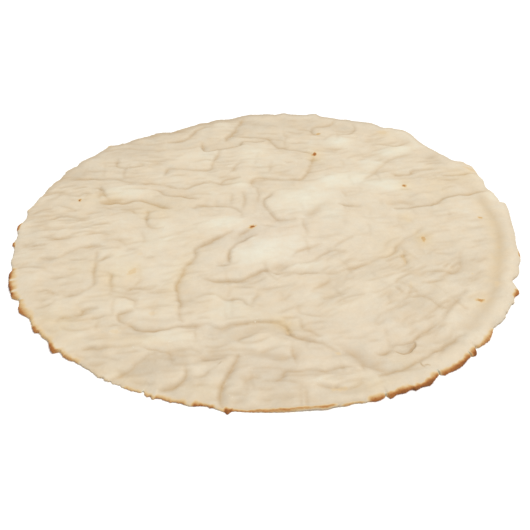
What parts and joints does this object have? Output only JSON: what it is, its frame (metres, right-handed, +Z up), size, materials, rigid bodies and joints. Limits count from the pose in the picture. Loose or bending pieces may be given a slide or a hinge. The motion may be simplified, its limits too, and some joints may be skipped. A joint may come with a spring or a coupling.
{
  "type": "pizza crust",
  "caption": "Round, thin, plain baked pizza crust with a pale wrinkled top, a low rim along one side and a browned, ragged edge.",
  "frame": {"origin": "middle of the box round the outline, on the flat underside", "axes": "+Z up, out of the wrinkled top; -Y towards the viewer, so that +X is the side with the low rim and groove"},
  "size_m": [0.3044, 0.3044, 0.0048],
  "materials": {
    "baked_dough": "dry matt pale dough, toasted brown in places along the edge"
  },
  "bodies": {
    "root": {"crust": "baked_dough"}
  },
  "joints": []
}
